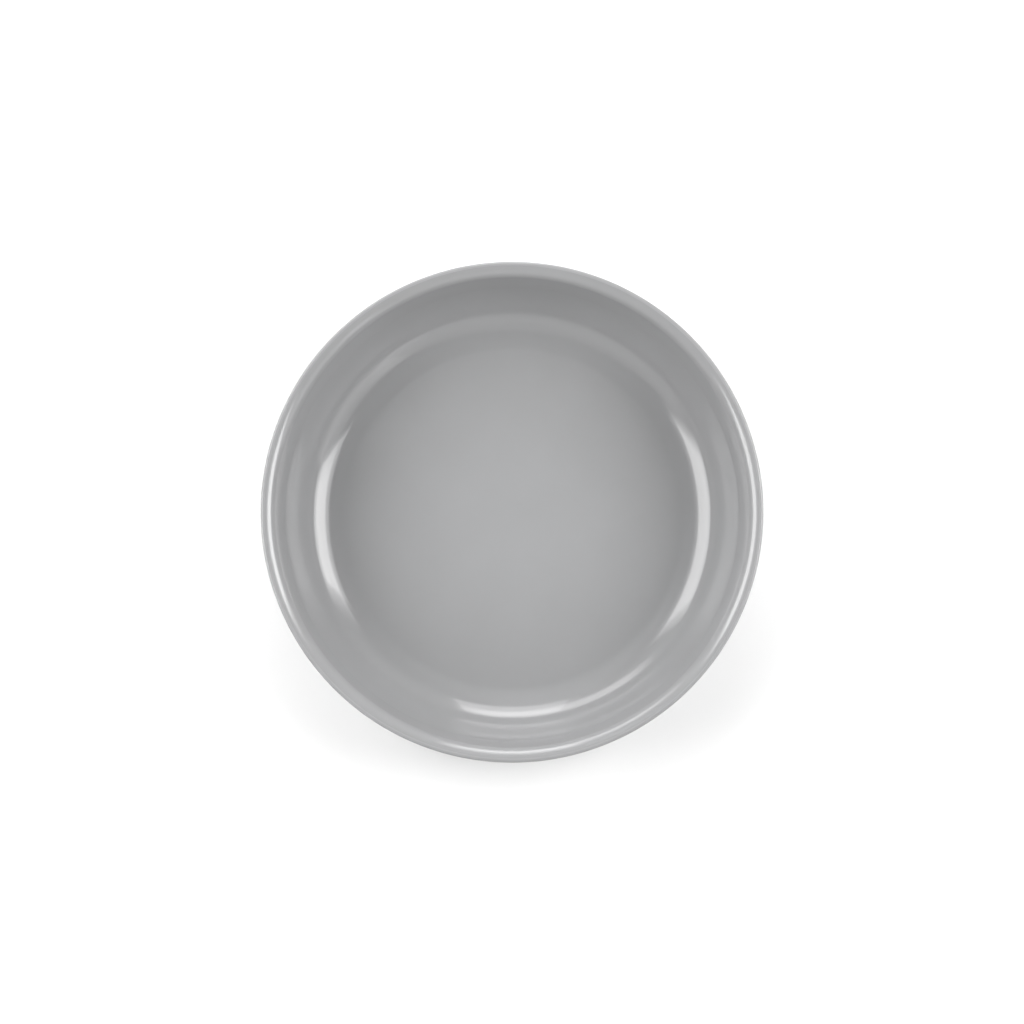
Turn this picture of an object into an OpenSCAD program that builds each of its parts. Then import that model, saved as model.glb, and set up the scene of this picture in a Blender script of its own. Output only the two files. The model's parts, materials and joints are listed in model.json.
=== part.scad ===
// Round one-piece serving dish: a flat-floored bowl with a coved wall, a crowned rim and a foot ring.
// The origin is the centre of the plane that the foot rests on, with +Z up through the mouth.
// Every slope is in degrees from level, and counts as positive where the surface rises outward.

/* [Size] */
// Outer diameter over the rim
outer_d = 200; // [160:1:280]
// Depth of the bowl, from the top of the rim to the floor
bowl_depth = 34.5; // [31:0.5:48]
// Thickness of the floor and the wall
shell_t = 3; // [2.4:0.1:3.2]

/* [Rim] */
// Radius that rounds the top outer edge
edge_r = 1; // [0.7:0.1:1.4]
// Slope at which the crowned top leaves that edge
edge_slope = 6; // [3:1:10]
// Radius of the crowned top
crown_r = 6; // [5.4:0.1:7.2]
// Slope at which the crown turns into the shoulder
crown_slope = 42; // [38:1:46]
// Radius of the shoulder, where the rim turns down into the bowl
shoulder_r = 5; // [4:0.1:5.6]
// Height of the rim, from its top to its underside
rim_h = 5.5; // [5:0.1:8]

/* [Wall] */
// Slope of the straight upper wall
wall_slope = 76; // [74:0.5:78]
// Radius of the short bend below the straight wall
waist_r = 12; // [8:1:16]
// Slope at which that bend meets the belly
waist_slope = 72; // [70:1:73]
// Radius of the belly, the gently curved middle of the wall
belly_r = 45; // [38:1:50]
// Slope at which the belly meets the cove
cove_slope = 57; // [55:1:60]
// Radius of the cove, which carries the wall round into the floor
cove_r = 20.5; // [16:0.5:22]

/* [Foot] */
// Height of the foot ring below the floor's underside
foot_h = 2; // [1.8:0.1:3.5]
// Width of the foot ring
foot_w = 4; // [3:0.5:8]
// Distance from the start of the cove to the outside of the foot ring
foot_inset = 8; // [3:0.5:16]
// Radius that rounds the two lower edges of the foot ring
foot_edge_r = 0.8; // [0.4:0.1:1]
// Fillet on both sides of the foot ring, where it meets the floor
foot_fillet_r = 0.8; // [0.4:0.1:0.8]

/* [Hidden] */
$fn = 180;
// Largest turn between two neighbouring points of an arc
arc_step = 3;
// Points closer together than this are one point
join_gap = 0.001;

height = foot_h + shell_t + bowl_depth;
floor_z = foot_h + shell_t;
rim_r = outer_d / 2;
under_z = height - rim_h;

// Direction that points up and in, square to a surface of the given slope
function up(slope) = [-sin(slope), cos(slope)];

// Points of an arc about a centre, between two slopes; a negative radius makes a hollow
function arc(centre, radius, from, to) =
    let (n = ceil(abs(to - from) / arc_step))
    [for (i = [0:n]) centre + radius * up(from + (to - from) * i / n)];

// The rim's top is found from its outer edge inwards, each arc tangent to the one before
edge_c = [rim_r - edge_r, height - edge_r];
crown_c = edge_c + (edge_r - crown_r) * up(edge_slope);
shoulder_c = crown_c + (crown_r - shoulder_r) * up(crown_slope);
wall_top = shoulder_c + shoulder_r * up(wall_slope);

// What the arcs of the wall leave of the depth is straight
waist_rise = waist_r * (cos(waist_slope) - cos(wall_slope));
belly_rise = belly_r * (cos(cove_slope) - cos(waist_slope));
cove_rise = cove_r * (1 - cos(cove_slope));
straight_rise = wall_top.y - floor_z - waist_rise - belly_rise - cove_rise;

waist_run = waist_r * (sin(wall_slope) - sin(waist_slope));
belly_run = belly_r * (sin(waist_slope) - sin(cove_slope));
cove_run = cove_r * sin(cove_slope);
straight_run = straight_rise / tan(wall_slope);
floor_r = wall_top.x - straight_run - waist_run - belly_run - cove_run;

cove_c = [floor_r, floor_z + cove_r];
belly_c = cove_c + (belly_r - cove_r) * up(cove_slope);
waist_c = belly_c + (waist_r - belly_r) * up(waist_slope);

// The rim overhangs the outside of the wall, and shares its underside between two arcs:
// one rounds the bottom outer edge, the other is the fillet into the straight outer wall
wall_out_x = wall_top.x + shell_t / sin(wall_slope) + (under_z - wall_top.y) / tan(wall_slope);
overhang = rim_r - wall_out_x;
under_edge_r = 0.45 * overhang;
under_edge_c = [rim_r - under_edge_r, under_z + under_edge_r];
under_fillet_r = 0.4 * overhang;
under_fillet_c = [
    wall_out_x + under_fillet_r * tan(wall_slope / 2),
    under_z - under_fillet_r
];

foot_r = floor_r - foot_inset;
foot_in_r = foot_r - foot_w;

inside = concat(
    [[0, floor_z]],
    arc(cove_c, -cove_r, 0, cove_slope),
    arc(belly_c, -belly_r, cove_slope, waist_slope),
    arc(waist_c, -waist_r, waist_slope, wall_slope),
    arc(shoulder_c, shoulder_r, wall_slope, crown_slope),
    arc(crown_c, crown_r, crown_slope, edge_slope),
    arc(edge_c, edge_r, edge_slope, 0),
    arc(edge_c, edge_r, 0, -90)
);

// Below the rim the outside runs parallel to the inside, a shell's thickness away
outside = concat(
    arc(under_edge_c, -under_edge_r, 90, 0),
    arc(under_fillet_c, under_fillet_r, 0, wall_slope),
    arc(waist_c, -waist_r - shell_t, wall_slope, waist_slope),
    arc(belly_c, -belly_r - shell_t, waist_slope, cove_slope),
    arc(cove_c, -cove_r - shell_t, cove_slope, 0)
);

foot = concat(
    arc([foot_r + foot_fillet_r, foot_h - foot_fillet_r], foot_fillet_r, 0, 90),
    arc([foot_r - foot_edge_r, foot_edge_r], -foot_edge_r, 90, 0),
    arc([foot_in_r + foot_edge_r, foot_edge_r], -foot_edge_r, 0, -90),
    arc([foot_in_r - foot_fillet_r, foot_h - foot_fillet_r], foot_fillet_r, -90, 0),
    [[0, foot_h]]
);

// Arcs that meet share an end point, which is kept once
points = concat(inside, outside, foot);
outline = [
    for (i = [0:len(points) - 1])
        if (i == 0 || norm(points[i] - points[i - 1]) > join_gap) points[i]
];

module dish() {
    color("darkgray")
        rotate_extrude()
            polygon(outline);
}

dish();
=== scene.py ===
import json
import math

import bmesh
import bpy
from mathutils import Matrix, Vector


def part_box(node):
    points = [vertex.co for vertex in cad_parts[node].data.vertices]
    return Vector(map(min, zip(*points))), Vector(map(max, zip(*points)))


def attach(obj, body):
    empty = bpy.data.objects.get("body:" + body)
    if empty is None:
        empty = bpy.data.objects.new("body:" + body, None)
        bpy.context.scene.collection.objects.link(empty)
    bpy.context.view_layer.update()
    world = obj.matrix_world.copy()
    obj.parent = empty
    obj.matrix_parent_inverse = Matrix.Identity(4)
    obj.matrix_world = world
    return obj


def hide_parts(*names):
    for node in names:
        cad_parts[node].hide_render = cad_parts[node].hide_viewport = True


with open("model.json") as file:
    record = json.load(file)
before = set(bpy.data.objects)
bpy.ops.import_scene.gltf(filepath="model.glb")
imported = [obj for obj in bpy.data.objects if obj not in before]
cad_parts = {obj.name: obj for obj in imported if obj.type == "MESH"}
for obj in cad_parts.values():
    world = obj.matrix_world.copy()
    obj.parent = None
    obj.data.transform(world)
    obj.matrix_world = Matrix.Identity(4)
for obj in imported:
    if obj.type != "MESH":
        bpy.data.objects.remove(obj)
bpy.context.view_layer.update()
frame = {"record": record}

MM = 0.001

# ---- The dish's section, which repeats the design's radii and slopes; its size comes from the frame ----

LOW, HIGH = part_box("dish")
MOUNTS = {mount["name"]: Vector(mount["pos_m"]) for mount in frame["record"]["mounts"]}
RIM_R = HIGH.x
TOP_Z = HIGH.z
FLOOR_Z = MOUNTS["inner_floor"].z

SHELL_T = 3 * MM
EDGE_R = 1 * MM
EDGE_SLOPE = 6
CROWN_R = 6 * MM
CROWN_SLOPE = 42
SHOULDER_R = 5 * MM
WALL_SLOPE = 76
WAIST_R = 12 * MM
WAIST_SLOPE = 72
BELLY_R = 45 * MM
COVE_SLOPE = 57
COVE_R = 20.5 * MM
RIM_H = 5.5 * MM
FOOT_INSET = 8 * MM
FOOT_W = 4 * MM
FOOT_EDGE_R = 0.8 * MM
# Shares of the rim's overhang: the round under its edge, and the fillet into the wall
UNDER_EDGE_SHARE = 0.45
UNDER_FILLET_SHARE = 0.4

# The shallow band round the rim's edge, where the flash between the mould's halves was trimmed
TRIM_W = 0.7 * MM
TRIM_DEPTH = 0.04 * MM

# Degrees between two points of an arc
ARC_STEP = 1.5
# An arc tighter than this takes coarser steps
TIGHT_R = 3 * MM
TIGHT_STEP = 6
# The longest step along a straight stretch
RING_GAP = 6 * MM
RING_SEGMENTS = 288
# Points closer together than this are one point
JOIN_GAP = 0.001 * MM

# ---- Camera and studio ----

VIEW_ELEVATION = 85.2
VIEW_DISTANCE = 0.96
FRAME_SHARE = 0.4916
SENSOR_W = 36
FLOOR_RADIUS = 0.6
FLOOR_SEGMENTS = 96
# Keeps the floor's surface off the foot's, so that the two don't flicker
FLOOR_GAP = 0.05 * MM
LAMP_DISTANCE = 0.9
# A soft box is this many nested lamps. The largest is wider and taller than the middle size by these
# amounts, the smallest is narrower and lower by them, and a gap parts one lamp from the next.
SOFT_LAYERS = 4
SOFT_WIDTH = 0.15
SOFT_HEIGHT = 0.05
SOFT_GAP = 0.01


def sin(degrees):
    return math.sin(math.radians(degrees))


def cos(degrees):
    return math.cos(math.radians(degrees))


def tan(degrees):
    return math.tan(math.radians(degrees))


def up(slope):
    """The direction that points up and in, square to a surface of the given slope."""
    return Vector((-sin(slope), cos(slope)))


def arc(centre, radius, start, end):
    """Points of an arc between two slopes; a negative radius makes a hollow."""
    step = TIGHT_STEP if abs(radius) < TIGHT_R else ARC_STEP
    steps = max(1, math.ceil(abs(end - start) / step))
    return [centre + radius * up(start + (end - start) * i / steps) for i in range(steps + 1)]


def line(start, end):
    """Points along a straight stretch, close enough to keep the mesh's faces compact."""
    steps = max(1, math.ceil((end - start).length / RING_GAP))
    return [start.lerp(end, i / steps) for i in range(steps + 1)]


def dish_outline():
    """The section as (radius, height) points, from the middle of the floor round to the middle underneath."""
    edge_c = Vector((RIM_R - EDGE_R, TOP_Z - EDGE_R))
    crown_c = edge_c + (EDGE_R - CROWN_R) * up(EDGE_SLOPE)
    shoulder_c = crown_c + (CROWN_R - SHOULDER_R) * up(CROWN_SLOPE)
    wall_top = shoulder_c + SHOULDER_R * up(WALL_SLOPE)

    rises = (
        WAIST_R * (cos(WAIST_SLOPE) - cos(WALL_SLOPE))
        + BELLY_R * (cos(COVE_SLOPE) - cos(WAIST_SLOPE))
        + COVE_R * (1 - cos(COVE_SLOPE))
    )
    runs = (
        WAIST_R * (sin(WALL_SLOPE) - sin(WAIST_SLOPE))
        + BELLY_R * (sin(WAIST_SLOPE) - sin(COVE_SLOPE))
        + COVE_R * sin(COVE_SLOPE)
    )
    straight_rise = wall_top.y - FLOOR_Z - rises
    floor_r = wall_top.x - straight_rise / tan(WALL_SLOPE) - runs

    cove_c = Vector((floor_r, FLOOR_Z + COVE_R))
    belly_c = cove_c + (BELLY_R - COVE_R) * up(COVE_SLOPE)
    waist_c = belly_c + (WAIST_R - BELLY_R) * up(WAIST_SLOPE)
    waist_out_r = WAIST_R + SHELL_T

    under_z = TOP_Z - RIM_H
    wall_out_x = wall_top.x + SHELL_T / sin(WALL_SLOPE) + (under_z - wall_top.y) / tan(WALL_SLOPE)
    overhang = RIM_R - wall_out_x
    under_edge_r = UNDER_EDGE_SHARE * overhang
    under_edge_c = Vector((RIM_R - under_edge_r, under_z + under_edge_r))
    fillet_r = UNDER_FILLET_SHARE * overhang
    fillet_c = Vector((wall_out_x + fillet_r * tan(WALL_SLOPE / 2), under_z - fillet_r))

    trim_z = (edge_c.y + under_edge_c.y) / 2
    trim = [
        Vector((RIM_R, trim_z + TRIM_W / 2)),
        Vector((RIM_R - TRIM_DEPTH, trim_z + TRIM_W / 2 - TRIM_DEPTH)),
        Vector((RIM_R - TRIM_DEPTH, trim_z - TRIM_W / 2 + TRIM_DEPTH)),
        Vector((RIM_R, trim_z - TRIM_W / 2)),
    ]

    foot_h = FLOOR_Z - SHELL_T
    foot_r = floor_r - FOOT_INSET
    foot_in_r = foot_r - FOOT_W
    foot_z = foot_h - FOOT_EDGE_R

    stretches = [
        line(Vector((0, FLOOR_Z)), Vector((floor_r, FLOOR_Z))),
        arc(cove_c, -COVE_R, 0, COVE_SLOPE),
        arc(belly_c, -BELLY_R, COVE_SLOPE, WAIST_SLOPE),
        arc(waist_c, -WAIST_R, WAIST_SLOPE, WALL_SLOPE),
        line(waist_c - WAIST_R * up(WALL_SLOPE), wall_top),
        arc(shoulder_c, SHOULDER_R, WALL_SLOPE, CROWN_SLOPE),
        arc(crown_c, CROWN_R, CROWN_SLOPE, EDGE_SLOPE),
        arc(edge_c, EDGE_R, EDGE_SLOPE, 0),
        arc(edge_c, EDGE_R, 0, -90),
        trim,
        arc(under_edge_c, -under_edge_r, 90, 0),
        arc(fillet_c, fillet_r, 0, WALL_SLOPE),
        line(fillet_c + fillet_r * up(WALL_SLOPE), waist_c - waist_out_r * up(WALL_SLOPE)),
        arc(waist_c, -waist_out_r, WALL_SLOPE, WAIST_SLOPE),
        arc(belly_c, -BELLY_R - SHELL_T, WAIST_SLOPE, COVE_SLOPE),
        arc(cove_c, -COVE_R - SHELL_T, COVE_SLOPE, 0),
        arc(Vector((foot_r + FOOT_EDGE_R, foot_z)), FOOT_EDGE_R, 0, 90),
        arc(Vector((foot_r - FOOT_EDGE_R, FOOT_EDGE_R)), -FOOT_EDGE_R, 90, 0),
        arc(Vector((foot_in_r + FOOT_EDGE_R, FOOT_EDGE_R)), -FOOT_EDGE_R, 0, -90),
        arc(Vector((foot_in_r - FOOT_EDGE_R, foot_z)), FOOT_EDGE_R, -90, 0),
        line(Vector((foot_in_r - FOOT_EDGE_R, foot_h)), Vector((0, foot_h))),
    ]
    outline = []
    for point in (p for stretch in stretches for p in stretch):
        if not outline or (point - outline[-1]).length > JOIN_GAP:
            outline.append(point)
    return outline


def revolve(name, outline):
    """A closed, smooth-shaded solid of revolution whose outline starts and ends on the axis."""
    mesh = bmesh.new()
    rings = []
    for radius, height in outline:
        if radius == 0:
            rings.append([mesh.verts.new((0, 0, height))])
            continue
        turns = [2 * math.pi * k / RING_SEGMENTS for k in range(RING_SEGMENTS)]
        rings.append([mesh.verts.new((radius * math.cos(t), radius * math.sin(t), height)) for t in turns])
    for ring, following in zip(rings, rings[1:]):
        for k in range(RING_SEGMENTS):
            after = (k + 1) % RING_SEGMENTS
            corners = [ring[k % len(ring)], following[k % len(following)]]
            if len(following) > 1:
                corners.append(following[after])
            if len(ring) > 1:
                corners.append(ring[after])
            mesh.faces.new(corners).smooth = True
    bmesh.ops.recalc_face_normals(mesh, faces=mesh.faces)
    data = bpy.data.meshes.new(name)
    mesh.to_mesh(data)
    mesh.free()
    piece = bpy.data.objects.new(name, data)
    bpy.context.collection.objects.link(piece)
    return piece


# ---- Materials ----


class Nodes:
    """A material's node tree, with short calls that add a node and link its inputs."""

    def __init__(self, name):
        self.material = bpy.data.materials.new(name)
        self.material.use_nodes = True
        self.tree = self.material.node_tree
        self.shader = self.tree.nodes["Principled BSDF"]

    def add(self, kind, inputs=None, **settings):
        node = self.tree.nodes.new(kind)
        for key, value in settings.items():
            setattr(node, key, value)
        for key, value in (inputs or {}).items():
            self.put(node.inputs[key], value)
        return node

    def put(self, socket, value):
        if isinstance(value, bpy.types.NodeSocket):
            self.tree.links.new(value, socket)
        else:
            socket.default_value = value

    def maths(self, operation, *values, clamp=False):
        return self.add(
            "ShaderNodeMath", dict(enumerate(values)), operation=operation, use_clamp=clamp
        ).outputs[0]

    def ramp(self, value, start, end):
        """0 up to start, 1 from end on, and smooth between; start may lie above end."""
        return self.add(
            "ShaderNodeMapRange",
            {"Value": value, "From Min": start, "From Max": end},
            interpolation_type="SMOOTHSTEP",
        ).outputs["Result"]

    def noise(self, place, scale, detail=2.0, roughness=0.5):
        return self.add(
            "ShaderNodeTexNoise",
            {"Vector": place, "Scale": scale, "Detail": detail, "Roughness": roughness},
        ).outputs["Fac"]

    def place(self, turn=0.0, stretch=(1, 1, 1)):
        """Object coordinates, turned about Z and stretched."""
        return self.add(
            "ShaderNodeMapping",
            {
                "Vector": self.add("ShaderNodeTexCoord").outputs["Object"],
                "Rotation": (0, 0, math.radians(turn)),
                "Scale": stretch,
            },
        ).outputs["Vector"]

    def scratches(self, turn, along, across):
        """Sparse fine lines that run one way: 1 in a line, and 0 beside it."""
        streaks = self.noise(self.place(turn, (along, across, along)), 1.0, detail=1.0)
        return self.ramp(self.maths("ABSOLUTE", self.maths("SUBTRACT", streaks, 0.5)), 0.006, 0.0)


def floor_scratches(nodes, place, on_floor):
    """Fine scratches in three directions, which come and go in patches over the inside floor."""
    marks = nodes.scratches(17, 9, 420)
    for turn, along, across in ((71, 12, 560), (128, 7, 380)):
        marks = nodes.maths("MAXIMUM", marks, nodes.scratches(turn, along, across))
    patches = nodes.ramp(nodes.noise(place, 28), 0.52, 0.66)
    return nodes.maths("MULTIPLY", nodes.maths("MULTIPLY", marks, patches), on_floor)


def melamine_colour(nodes, place, radius, on_floor, foot_wear):
    """Mid grey, faintly clouded and grained, and paler on the worn foot; the middle of the floor is also made
    paler by painted light, standing in for the shade that deepens towards the walls.
    """
    clouding = nodes.noise(place, 45, detail=3.0)
    grain = nodes.noise(place, 2600, detail=1.0)
    tone = nodes.maths("MULTIPLY_ADD", clouding, 0.4, nodes.maths("MULTIPLY", grain, 0.15))
    # Painted light: the floor grows paler towards its middle, in place of the shade that the walls cast near
    # the cove
    painted_centre_light = nodes.maths("MULTIPLY", nodes.ramp(radius, 66 * MM, 12 * MM), on_floor)
    tone = nodes.maths("MULTIPLY_ADD", painted_centre_light, 0.4, tone)
    return nodes.add(
        "ShaderNodeMix",
        {
            "Factor": nodes.maths("MAXIMUM", tone, foot_wear),
            "A": (0.212, 0.213, 0.215, 1),
            "B": (0.248, 0.250, 0.254, 1),
        },
        data_type="RGBA",
    ).outputs["Result"]


def melamine_roughness(nodes, place, radius, height, marks, foot_wear):
    """Gloss, dulled by haze and scratches, and satin on the buffed rim edge and the worn foot."""
    buffed = nodes.maths(
        "MULTIPLY",
        nodes.ramp(radius, RIM_R - 2.6 * MM, RIM_R - 1.2 * MM),
        nodes.ramp(height, TOP_Z - RIM_H, TOP_Z - RIM_H / 2),
    )
    roughness = nodes.maths("MULTIPLY", nodes.noise(place, 160, detail=3.0), 0.03)
    for mask, amount in ((marks, 0.10), (foot_wear, 0.34), (buffed, 0.24)):
        roughness = nodes.maths("ADD", roughness, nodes.maths("MULTIPLY", mask, amount))
    return nodes.maths("ADD", roughness, 0.075)


def melamine_relief(nodes, place, marks):
    """The slight ripple of a moulded surface, with the scratches cut into it."""
    ripple = nodes.add(
        "ShaderNodeBump",
        {"Height": nodes.noise(place, 95, detail=1.0), "Strength": 0.05, "Distance": 0.4 * MM},
    ).outputs["Normal"]
    return nodes.add(
        "ShaderNodeBump",
        {"Height": marks, "Strength": 0.15, "Distance": 0.02 * MM, "Normal": ripple},
        invert=True,
    ).outputs["Normal"]


def melamine():
    """Glossy moulded melamine in mid grey, with painted light paling the floor's middle, a scratched floor
    and a worn foot.
    """
    nodes = Nodes("melamine")
    place = nodes.place()
    axes = nodes.add("ShaderNodeSeparateXYZ", {"Vector": place}).outputs
    flat = nodes.add("ShaderNodeCombineXYZ", {"X": axes["X"], "Y": axes["Y"]}).outputs[0]
    radius = nodes.add("ShaderNodeVectorMath", {0: flat}, operation="LENGTH").outputs["Value"]
    height = axes["Z"]

    on_floor = nodes.maths(
        "MULTIPLY",
        nodes.ramp(radius, 74 * MM, 60 * MM),
        nodes.ramp(height, FLOOR_Z - 1 * MM, FLOOR_Z - 0.2 * MM),
    )
    foot_wear = nodes.ramp(height, 0.35 * MM, 0.02 * MM)
    marks = floor_scratches(nodes, place, on_floor)

    shader = nodes.shader.inputs
    nodes.put(shader["Base Color"], melamine_colour(nodes, place, radius, on_floor, foot_wear))
    nodes.put(shader["Roughness"], melamine_roughness(nodes, place, radius, height, marks, foot_wear))
    nodes.put(shader["Normal"], melamine_relief(nodes, place, marks))
    nodes.put(shader["IOR"], 1.5)
    return nodes.material


def table_paint():
    """Matte near-white board with a faint mottling."""
    nodes = Nodes("table_paint")
    mottle = nodes.noise(nodes.place(), 14, detail=3.0)
    colour = nodes.add(
        "ShaderNodeMix",
        {"Factor": mottle, "A": (0.71, 0.71, 0.71, 1), "B": (0.74, 0.74, 0.74, 1)},
        data_type="RGBA",
    ).outputs["Result"]
    nodes.put(nodes.shader.inputs["Base Color"], colour)
    nodes.shader.inputs["Roughness"].default_value = 0.9
    nodes.shader.inputs["Specular IOR Level"].default_value = 0.0
    return nodes.material


# ---- Studio ----


def make_floor():
    """A round table top under the dish."""
    mesh = bmesh.new()
    bmesh.ops.create_circle(mesh, cap_ends=True, radius=FLOOR_RADIUS, segments=FLOOR_SEGMENTS)
    data = bpy.data.meshes.new("studio_floor")
    mesh.to_mesh(data)
    mesh.free()
    floor = bpy.data.objects.new("studio_floor", data)
    bpy.context.collection.objects.link(floor)
    floor.location.z = LOW.z - FLOOR_GAP
    floor.data.materials.append(table_paint())


def aim_matrix(place, back, upward):
    """A camera or lamp at place that looks along -back, with its local Y as near to upward as it can be."""
    across = upward.cross(back).normalized()
    turned = Matrix((across, back.cross(across), back)).transposed().to_4x4()
    turned.translation = place
    return turned


def lamp(name, azimuth, polar, width, height, radiance, roll=0.0, distance=LAMP_DISTANCE):
    """A rectangular lamp that faces the middle of the mouth.

    azimuth is about +Z from +X and polar is from +Z, both in degrees. height is the lamp's size
    in the plane that holds the dish's axis, and width its size across that plane, in metres.
    """
    back = Vector((sin(polar) * cos(azimuth), sin(polar) * sin(azimuth), cos(polar)))
    data = bpy.data.lights.new(name, "AREA")
    data.shape = "RECTANGLE"
    data.size = width
    data.size_y = height
    data.energy = radiance * width * height * math.pi
    light = bpy.data.objects.new(name, data)
    bpy.context.collection.objects.link(light)
    mouth = Vector((0, 0, TOP_Z))
    light.matrix_world = aim_matrix(mouth + distance * back, back, Vector((0, 0, 1)))
    light.matrix_world = light.matrix_world @ Matrix.Rotation(math.radians(roll), 4, "Z")
    light.visible_camera = False


def soft_box(name, azimuth, polar, width, height, radiance, roll=0.0):
    """A lamp whose radiance falls off towards its edges in SOFT_LAYERS even steps."""
    for layer in range(SOFT_LAYERS):
        growth = 2 * layer / (SOFT_LAYERS - 1) - 1
        lamp(
            f"{name}_{layer}",
            azimuth,
            polar,
            width + growth * SOFT_WIDTH,
            height + growth * SOFT_HEIGHT,
            radiance / SOFT_LAYERS,
            roll,
            LAMP_DISTANCE + layer * SOFT_GAP,
        )


def make_world():
    """Pale light all round, bright at the horizon and dim overhead."""
    world = bpy.data.worlds.new("studio")
    world.use_nodes = True
    bpy.context.scene.world = world
    tree = world.node_tree
    sky = tree.nodes.new("ShaderNodeSeparateXYZ")
    ramp = tree.nodes.new("ShaderNodeValToRGB")
    tree.links.new(tree.nodes.new("ShaderNodeTexCoord").outputs["Generated"], sky.inputs[0])
    tree.links.new(sky.outputs["Z"], ramp.inputs[0])
    tree.links.new(ramp.outputs[0], tree.nodes["Background"].inputs["Color"])
    levels = ((0.0, 1.0), (0.15, 1.0), (0.3, 0.55), (0.5, 0.65), (0.67, 0.0))
    while len(ramp.color_ramp.elements) < len(levels):
        ramp.color_ramp.elements.new(0.5)
    for element, (position, level) in zip(ramp.color_ramp.elements, levels):
        element.position = position
        element.color = (level, level, level, 1)


def make_camera():
    """Looks almost straight down into the mouth, with the dish FRAME_SHARE as wide as the picture."""
    data = bpy.data.cameras.new("camera")
    camera = bpy.data.objects.new("camera", data)
    bpy.context.collection.objects.link(camera)
    back = Vector((0, -cos(VIEW_ELEVATION), sin(VIEW_ELEVATION)))
    # The near half of the rim looks larger than the far half, which moves the outline's middle
    offset = -RIM_R * RIM_R / VIEW_DISTANCE * cos(VIEW_ELEVATION)
    aim = Vector((0, offset, TOP_Z))
    camera.matrix_world = aim_matrix(aim + VIEW_DISTANCE * back, back, Vector((0, 1, 0)))
    data.sensor_width = SENSOR_W
    data.lens = SENSOR_W * VIEW_DISTANCE * FRAME_SHARE / (2 * RIM_R)
    data.clip_end = 50
    bpy.context.scene.camera = camera


def make_lamps():
    """Three soft boxes for the long highlights, spill round each, and cards that fill the shade."""
    soft_box("right_box", azimuth=11, polar=52.5, width=0.56, height=0.50, radiance=6.4, roll=-2)
    lamp("right_spill", azimuth=8, polar=45, width=0.52, height=0.52, radiance=4.2)
    soft_box("left_box", azimuth=171, polar=52.5, width=0.80, height=0.52, radiance=6.9)
    lamp("left_spill", azimuth=171, polar=45, width=0.70, height=0.52, radiance=1.6)
    soft_box("top_box", azimuth=103, polar=77, width=0.80, height=0.46, radiance=4.0)
    lamp("top_spill", azimuth=90, polar=63, width=0.40, height=0.42, radiance=3.9)
    lamp("overhead_card", azimuth=100, polar=30, width=0.36, height=0.70, radiance=0.45)
    lamp("low_card", azimuth=262, polar=57, width=1.90, height=0.62, radiance=0.72, distance=0.8)
    lamp("low_right_card", azimuth=330, polar=60, width=0.60, height=0.50, radiance=1.1)
    lamp("edge_card", azimuth=325, polar=78, width=0.80, height=0.40, radiance=0.7)


make_camera()
make_world()
make_floor()
make_lamps()

dish = revolve("dish_body", dish_outline())
dish.data.materials.append(melamine())
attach(dish, "root")
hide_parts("dish")

bpy.context.scene.view_settings.view_transform = "Standard"
